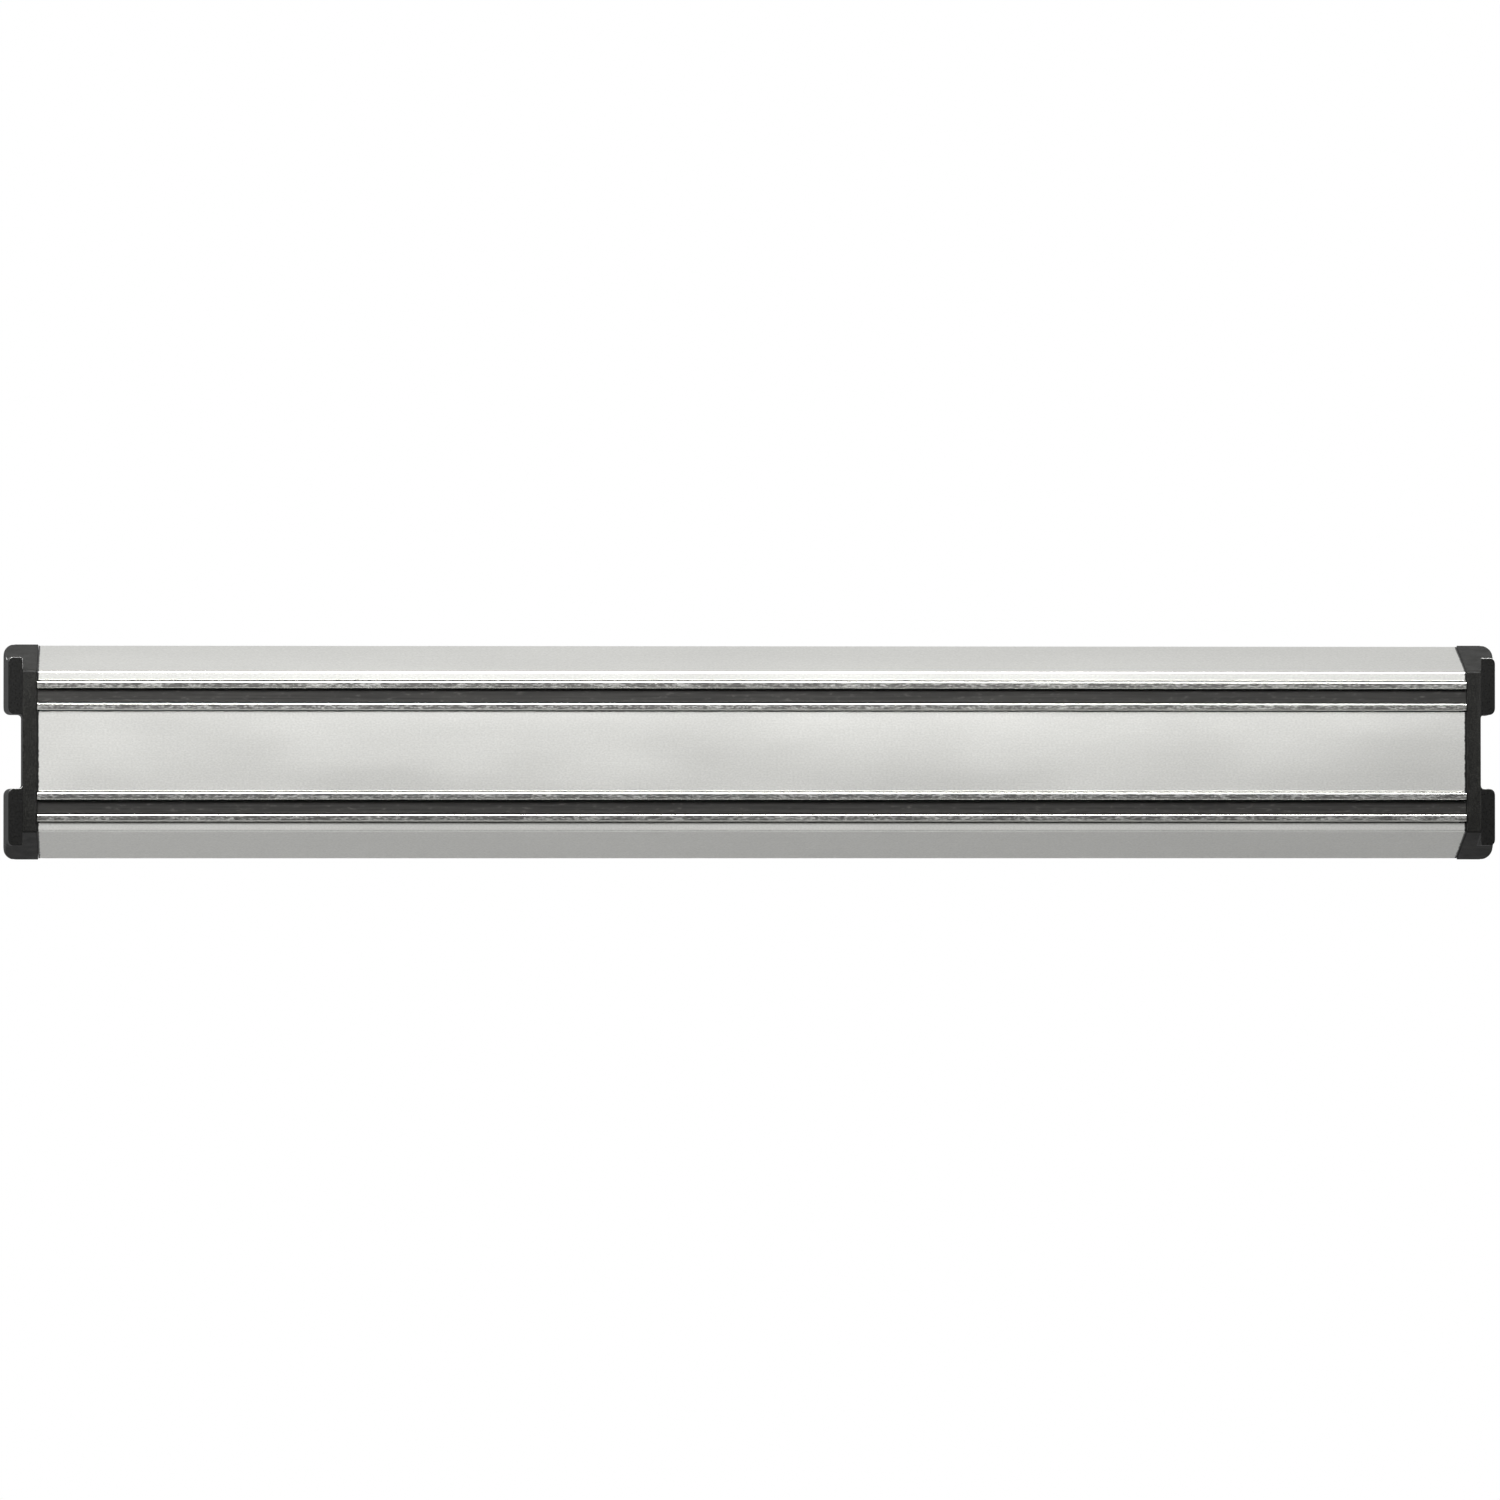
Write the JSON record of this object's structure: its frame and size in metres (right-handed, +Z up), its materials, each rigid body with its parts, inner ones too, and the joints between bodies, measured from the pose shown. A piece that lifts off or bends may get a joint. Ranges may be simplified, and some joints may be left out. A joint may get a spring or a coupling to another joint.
{
  "type": "magnetic knife rack",
  "caption": "Long aluminium wall bar with magnet rails set flush in its flat face, sloping top and bottom sides, black end caps with a notch between two ears, and sliding wall brackets.",
  "frame": {"origin": "middle of the plane that lies against the wall", "axes": "+X along the rack, +Z up, knives lie against the -Y side"},
  "size_m": [0.3, 0.0186, 0.0432],
  "materials": {
    "satin_aluminium": "satin anodised extrusion with a fine grain and faint lines along its length",
    "bright_steel": "ground strip, streaked along its length, with bright rounded edges",
    "black_filler": "matt black extruded strip",
    "ferrite": "sintered dark grey",
    "black_moulding": "finely textured moulded black plastic",
    "zinc_plated_steel": "bright zinc plate on pressed sheet"
  },
  "bodies": {
    "bar": {"profile": "satin_aluminium", "upper_rail_top_pole": "bright_steel", "upper_rail_bottom_pole": "bright_steel", "upper_rail_filler": "black_filler", "upper_rail_magnet_1": "ferrite", "upper_rail_magnet_2": "ferrite", "upper_rail_magnet_3": "ferrite", "upper_rail_magnet_4": "ferrite", "upper_rail_magnet_5": "ferrite", "upper_rail_magnet_6": "ferrite", "lower_rail_top_pole": "bright_steel", "lower_rail_bottom_pole": "bright_steel", "lower_rail_filler": "black_filler", "lower_rail_magnet_1": "ferrite", "lower_rail_magnet_2": "ferrite", "lower_rail_magnet_3": "ferrite", "lower_rail_magnet_4": "ferrite", "lower_rail_magnet_5": "ferrite", "lower_rail_magnet_6": "ferrite"},
    "left_cap": {"left_end_cap": "black_moulding"},
    "right_cap": {"right_end_cap": "black_moulding"},
    "left_bracket": {"left_wall_bracket": "zinc_plated_steel"},
    "right_bracket": {"right_wall_bracket": "zinc_plated_steel"}
  },
  "joints": [
    {"name": "left_cap_pull", "type": "slide", "parent": "bar", "child": "left_cap", "axis": [-1, 0, 0], "range_m": [0, 0.014]},
    {"name": "right_cap_pull", "type": "slide", "parent": "bar", "child": "right_cap", "axis": [1, 0, 0], "range_m": [0, 0.014]},
    {"name": "left_bracket_slide", "type": "slide", "parent": "bar", "child": "left_bracket", "axis": [1, 0, 0], "range_m": [-0.02, 0.078]},
    {"name": "right_bracket_slide", "type": "slide", "parent": "bar", "child": "right_bracket", "axis": [-1, 0, 0], "range_m": [-0.02, 0.078]}
  ]
}
